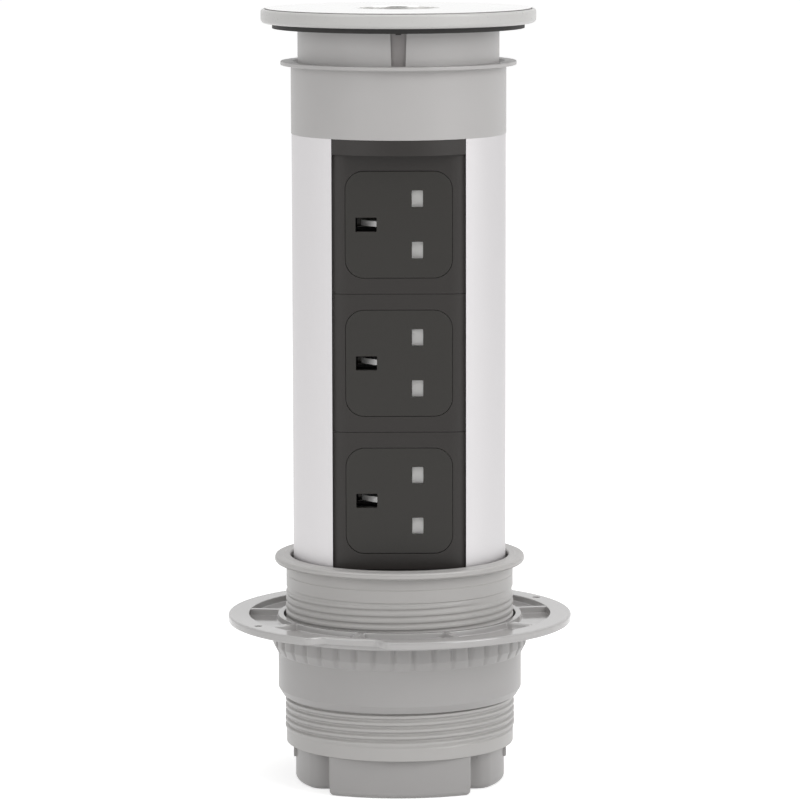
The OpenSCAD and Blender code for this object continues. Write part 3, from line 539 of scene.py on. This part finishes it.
cap = turned("cap_body", rounded([
    (18.3, 236.9, 0.1), (60.0, 236.9, 1.8), (60.0, 243.05, 1.2), (58.3, 243.05, 0.2),
    (58.3, 241.85, 0.05), (18.3, 241.85, 0.1)], 8), "handle")
join(cap, [rod(235.9, 240.5, 1.6, (30 * np.cos(a), 30 * np.sin(a)))
           for a in np.radians([45, 135, 225, 315])])
silver_paint = moulded("satin_silver_cap", "C2C1BF", 0.30, 0.5, 0.002, 0.02)
finish(cap, "cap_body", silver_paint)
lid = turned("cap_top_plate", rounded([
    (18.3, 241.85, 0.1), (58.0, 241.85, 0.1), (58.0, 243.45, 0.3),
    (18.3, 243.45, 0.4)], 6), "handle")
bright = metal("polished_steel_plate", "FAFAF9", 0.2, 3.0)
# painted shade: the plate's edge is coloured darker than its face and draws a thin dark line
# round it
plate_edge_shade = metal("plate_edge_painted_shade", "7C7A79", 0.5)
EDGE_R = 57.85
finish(lid, "cap_plate", bright)
lid.data.materials.append(plate_edge_shade)
middles = np.empty(len(lid.data.polygons) * 3)
lid.data.polygons.foreach_get("center", middles)
on_edge = np.linalg.norm(middles.reshape(-1, 3)[:, :2], axis=1) > EDGE_R / 1000
lid.data.polygons.foreach_set("material_index", on_edge.astype(np.int32))
button_abs = moulded("grey_abs_button", "C0BEBD", 0.7, specular=0.1)
dress("release_button", button_abs)
dress("cap_seal", black_rubber)

# Clamp ring
# Under the worktop a ring with nine ribs is pressed up by the lock nut. It is moulded in
# glossy grey ABS; two notches in its rim give a grip and two holes
# take screws.

CLAMP_R, CLAMP_Z, CHANNEL_Z, RIB_Z = 75.8, -23.2, -26.0, -23.4
NOTCH_DEPTH = 6.5
RIB_ANGLES = np.radians(-68 + 40 * np.arange(9))
NOTCH_ANGLES = np.radians([-108, 72])
HOLE_ANGLES = np.radians([-150, 30])

section = rounded([
    (51.2, -28.3, 0.4), (67.6, -28.3, 0.4), (68.9, -26.7, 0.3), (CLAMP_R, -26.7, 0.9),
    (CLAMP_R, CLAMP_Z, 0.9), (66.6, CLAMP_Z, 0.35), (66.2, CHANNEL_Z, 0.6),
    (54.1, CHANNEL_Z, 0.6), (53.7, RIB_Z, 0.35), (51.2, RIB_Z, 0.4)], 6)
section_r, section_z = section.T[..., None]
# columns run parallel to a rib at fixed distances from its middle, and between two ribs
# the angle is shared out evenly
beside = np.array([0, 0.9, 1.2, 1.3, 1.4, 1.5, 1.6, 1.7, 1.8])
beside = np.concatenate([-beside[:0:-1], beside])
rib_share = 1 - ease((np.abs(beside) - 1.2) / 0.6)
near = np.arcsin(beside / section_r)
between = 36
gap_share = np.arange(1, between) / between
spread = near[:, -1:] + (np.radians(40) - 2 * near[:, -1:]) * gap_share
one_rib = np.hstack([near, spread])
angle = (RIB_ANGLES[None, :, None] + one_rib[:, None, :]).reshape(len(section), -1)
share = np.tile(np.concatenate([rib_share, np.zeros(between - 1)]), 9)
in_channel = (section_r > 53) & (section_r < 67) & (section_z > CHANNEL_Z - 0.1)
lift = np.where(in_channel, np.maximum(RIB_Z - section_z, 0), 0) * share
# a notch draws the rim's edge in by its depth over 9.3 degrees either side of its middle
# and runs out by a cosine at 14.5 degrees
turn = (angle[..., None] - NOTCH_ANGLES + np.pi) % (2 * np.pi) - np.pi
reach = np.clip((np.degrees(np.abs(turn)).min(-1) - 9.3) / 5.2, 0, 1)
inward = NOTCH_DEPTH * (1 + np.cos(np.pi * reach)) / 2
rim_share = np.clip((section_r - 67.4) / (74.9 - 67.4), 0, 1)
clamp = as_piece("ribbed_clamp_ring",
                 round_grid(section_r - inward * rim_share, section_z + lift, angle),
                 grid_faces(*angle.shape), "clamp")
join(clamp, [rod(-30, -22, 1.7, (71.0 * np.cos(a), 71.0 * np.sin(a)))
             for a in HOLE_ANGLES])
ring_abs = moulded("grey_abs_clamp_ring", "A9A7A6", 0.1, 2.5, 0, specular=1.0, swing=0.01)
finish(clamp, "clamp_ring", ring_abs)

# Lock nut
# The nut runs on the sleeve's thread: a smooth hub with a wider grip that has 40 narrow
# grooves between broad pads, moulded in grey ABS like the ring that it presses up.

GROOVE_DEPTH = 1.1
GROOVE_STEP = np.radians(9)
FIRST_GROOVE = np.radians(-90 - 2.6)

nut_rows = rounded([
    (50.3, -28.3, 0.5), (50.3, -57.0, 0.2), (51.5, -57.2, 0.1), (51.5, -59.0, 0.1),
    (51.75, -59.0, 0.1), (53.7, -55.8, 0.9), (53.7, -40.3, 0.3), (54.2, -39.7, 0.2),
    (56.0, -36.3, 0.8), (56.0, -28.3, 0.4)])
bore_rows = np.linspace(-28.9, -56.6, 100)
nut_r = np.concatenate([nut_rows[:5, 0], np.full(100, 50.3), nut_rows[5:, 0]])[:, None]
nut_z = np.concatenate([nut_rows[:5, 1], bore_rows, nut_rows[5:, 1]])[:, None]
angle = np.arange(480) * 2 * np.pi / 480
radius = np.repeat(nut_r, len(angle), 1)
offset, _ = along_thread(nut_z[5:105], angle)
radius[5:105] += 0.9 * ease((0.49 - np.abs(offset)) / 0.24)
# a groove is at full depth within half a degree of its middle and gone at 1.4 degrees, it
# runs out at the grip's foot, and a pad bulges by a tenth of a millimetre
off_groove = (angle - FIRST_GROOVE + GROOVE_STEP / 2) % GROOVE_STEP - GROOVE_STEP / 2
off_groove = np.abs(np.degrees(off_groove))
groove = GROOVE_DEPTH * (1 - ease((off_groove - 0.5) / 0.9)) + 0.1 * (1 - off_groove / 4.5) ** 2
grip = (nut_z[:, 0] > -40.0) & (nut_r[:, 0] > 53.5)
run_out = ease((nut_z[grip] + 39.9) / 1.6)
radius[grip] = np.maximum(radius[grip] - groove * run_out, 53.9)
nut = as_piece("fluted_lock_nut", round_grid(radius, nut_z, angle),
               grid_faces(*radius.shape), "nut")
nut_abs = moulded("grey_abs_lock_nut", "A6A4A3", 0.36)
finish(nut, "lock_nut", nut_abs)

# Base
# The cross shaped base closes the column's foot, is held by four screws, and has the
# cable gland in its underside. Grey ABS, with large rounds where it would catch.

BASE_TOP, BASE_FOOT, BASE_ROUND = -80.5, -97.7, 2.2
SIDE_R, FACE_R, LOBE_R, LOBE_HALF = 46.2, 46.8, 70.0, 30.7
SIDE_HALF, SIDE_ROUND = 27.0, 8.0


def arc(centre, radius, first, last, n):
    """Points of an arc about a centre between two angles."""
    t = np.linspace(first, last, n)[:, None]
    return np.asarray(centre) + radius * np.hstack([np.cos(t), np.sin(t)])


def cross_outline(inset):
    """The cross's outline drawn in by inset: each quarter is an arc of the side lobe, its
    round edge, the hollow corner, the front lobe's small round edge and half its face."""
    turn = np.arcsin((SIDE_HALF - SIDE_ROUND) / (SIDE_R - SIDE_ROUND))
    edge = (SIDE_R - SIDE_ROUND) * np.array([np.cos(turn), np.sin(turn)])
    hollow = (LOBE_HALF + 0.6, SIDE_HALF + 0.6)
    small = 1.5 - 1.2 * inset / BASE_ROUND
    middle = np.array([0, FACE_R - LOBE_R])
    x = LOBE_HALF - inset - small
    y = np.sqrt((LOBE_R - inset - small) ** 2 - x ** 2)
    lean = np.arctan2(y, x)
    quarter = np.vstack([
        arc((0, 0), SIDE_R - inset, 0, turn, 12),
        arc(edge, SIDE_ROUND - inset, turn, np.pi / 2, 10),
        arc(hollow, 0.6 + inset, -np.pi / 2, -np.pi, 6),
        arc(middle + (x, y), small, 0, lean, 7),
        arc(middle, LOBE_R - inset, lean, np.pi / 2, 14)])
    back = np.vstack([quarter[:-1], (quarter * (-1, 1))[:0:-1]])
    return np.vstack([back, -back])


sweep = np.radians(np.linspace(0, 90, 9))
insets = np.concatenate([[0.3, 0.09, 0], BASE_ROUND * (1 - np.cos(sweep))])
levels = np.concatenate([[BASE_TOP, BASE_TOP - 0.09, BASE_TOP - 0.3],
                         BASE_FOOT + BASE_ROUND * (1 - np.sin(sweep))])
rows = [cross_outline(inset) for inset in insets]
points = np.concatenate([np.column_stack([row, np.full(len(row), z)])
                         for row, z in zip(rows, levels)])
count = len(rows[0])
faces = grid_faces(len(rows), count, loop_rows=False)
faces += [tuple(range(count)), tuple(range(len(points) - count, len(points)))]
foot = as_piece("cross_base", points, faces, "column")


def tab(side):
    """A low pad on a side lobe: an outline in Y and Z carried outwards, drawn in a little
    at its outer edge."""
    ends = []
    for x, inset in ((40, 0), (46.6, 0), (46.9, 0.15), (47, 0.5)):
        outline = rounded([(inset - 7, inset - 87.2, 0.8), (7 - inset, inset - 87.2, 0.8),
                           (7 - inset, -80.6, 0.3), (inset - 7, -80.6, 0.3)])
        ends.append(np.column_stack([np.full(20, side * x), outline]))
    caps = [tuple(range(20)), tuple(range(60, 80))]
    return as_piece("tool", np.vstack(ends), grid_faces(4, 20, loop_rows=False) + caps)


join(foot, [tab(-1), tab(1), rod(BASE_TOP - 1, BASE_TOP + 3.7, 29, (0, 4))], "UNION")
join(foot, [rod(BASE_FOOT - 1, BASE_TOP + 1, 2.1, port, (3.6, BASE_FOOT + 6))
            for port in ports])
join(foot, [rod(BASE_FOOT - 1, BASE_TOP + 4.7, 6.0, (0, 20), (9.05, BASE_TOP + 0.7))])
base_abs = moulded("grey_abs_base", "A2A09F", 0.38)
finish(foot, "base", base_abs)
gland = turned("cable_gland_insert", rounded([
    (5.0, -96.7, 0.8), (9.0, -96.7, 0.6), (9.0, -79.8, 0.3), (5.0, -79.8, 0.3)]),
    "column", 96, (0, 20))
finish(gland, "cable_gland", black_rubber)

# Floor, light and camera
# A white floor that turns white to the camera but keeps the object's shadow, a soft
# white surround, and three broad lamps from the right, the left and above.

FLOOR_Z = -0.0977
FLOOR_GLOW, SURROUND = 0.55, 0.52   # what the camera adds to the floor, and the light round
FOCAL_PX, FRAME_PX = 4564.3, 800    # the camera's focal length and frame in pixels
TILT, ROLL = 7.516, 0.12            # degrees down from the level, and about the view


def see_white(tree, strength):
    """1 for camera, mirror and transmission rays, scaled to a strength."""
    path = add_node(tree, "LightPath")
    seen = add_node(tree, "Math", {"operation": "MAXIMUM"},
                    {0: path.outputs["Is Camera Ray"], 1: path.outputs["Is Glossy Ray"]})
    seen = add_node(tree, "Math", {"operation": "MAXIMUM"},
                    {0: seen.outputs[0], 1: path.outputs["Is Transmission Ray"]})
    return add_node(tree, "Math", {"operation": "MULTIPLY", 1: strength},
                    {0: seen.outputs[0]})


mesh = bpy.data.meshes.new("floor")
mesh.from_pydata([(-30, -30, FLOOR_Z), (30, -30, FLOOR_Z), (30, 30, FLOOR_Z),
                  (-30, 30, FLOOR_Z)], [], [(0, 1, 2, 3)])
floor = bpy.data.objects.new("floor", mesh)
bpy.context.scene.collection.objects.link(floor)
made, tree, shader = new_material("white_studio_floor")
shader.inputs["Base Color"].default_value = linear("F2F2F2")
shader.inputs["Roughness"].default_value = 1.0
shader.inputs["Specular IOR Level"].default_value = 0.0
shader.inputs["Emission Color"].default_value = (1, 1, 1, 1)
tree.links.new(see_white(tree, FLOOR_GLOW).outputs[0], shader.inputs["Emission Strength"])
floor.data.materials.append(made)

world = bpy.data.worlds.new("white_surround")
bpy.context.scene.world = world
world.use_nodes = True
tree = world.node_tree
background = tree.nodes["Background"]
background.inputs["Color"].default_value = (1, 1, 1, 1)
# reflections see the studio behind the camera as grey, and white everywhere else
way = add_node(tree, "SeparateXYZ", links={0: add_node(tree, "TexCoord").outputs[0]})
behind = add_node(tree, "MapRange", {"interpolation_type": "SMOOTHSTEP", "From Min": -0.95,
                                     "From Max": -0.55, "To Min": 0.25, "To Max": 1.0},
                  {"Value": way.outputs[1]})
path = add_node(tree, "LightPath")
mirrored = add_node(tree, "Mix", {2: 1.0},
                    {0: path.outputs["Is Glossy Ray"], 3: behind.outputs[0]})
level = add_node(tree, "Mix", {2: SURROUND},
                 {0: see_white(tree, 1.0).outputs[0], 3: mirrored.outputs[0]})
tree.links.new(level.outputs[0], background.inputs["Strength"])


def softbox(name, place, aim, size, watts):
    """A square area lamp that faces a point."""
    data = bpy.data.lights.new(name, "AREA")
    data.shape = "SQUARE"
    data.size = size
    data.energy = watts
    lamp = bpy.data.objects.new(name, data)
    lamp.location = place
    way = Vector(aim) - Vector(place)
    lamp.rotation_euler = way.to_track_quat("-Z", "Y").to_euler()
    bpy.context.scene.collection.objects.link(lamp)


softbox("softbox_right", (1.6, -1.2, 1.1), (0, 0, 0.05), 1.3, 18)
softbox("softbox_left", (-1.5, -1.8, 1.0), (0, 0, 0.05), 1.3, 11)
softbox("softbox_above", (0, -0.2, 2.2), (0, 0, 0.1), 1.6, 11)

data = bpy.data.cameras.new("photo_camera")
data.sensor_width = 36.0
data.lens = FOCAL_PX * data.sensor_width / FRAME_PX
data.clip_end = 100
camera = bpy.data.objects.new("photo_camera", data)
camera.location = (0.0009, -1.9906, 0.3338)
camera.rotation_euler = (np.radians(90 - TILT), np.radians(ROLL), 0)
bpy.context.scene.collection.objects.link(camera)
bpy.context.scene.camera = camera
bpy.context.scene.view_settings.view_transform = "Standard"
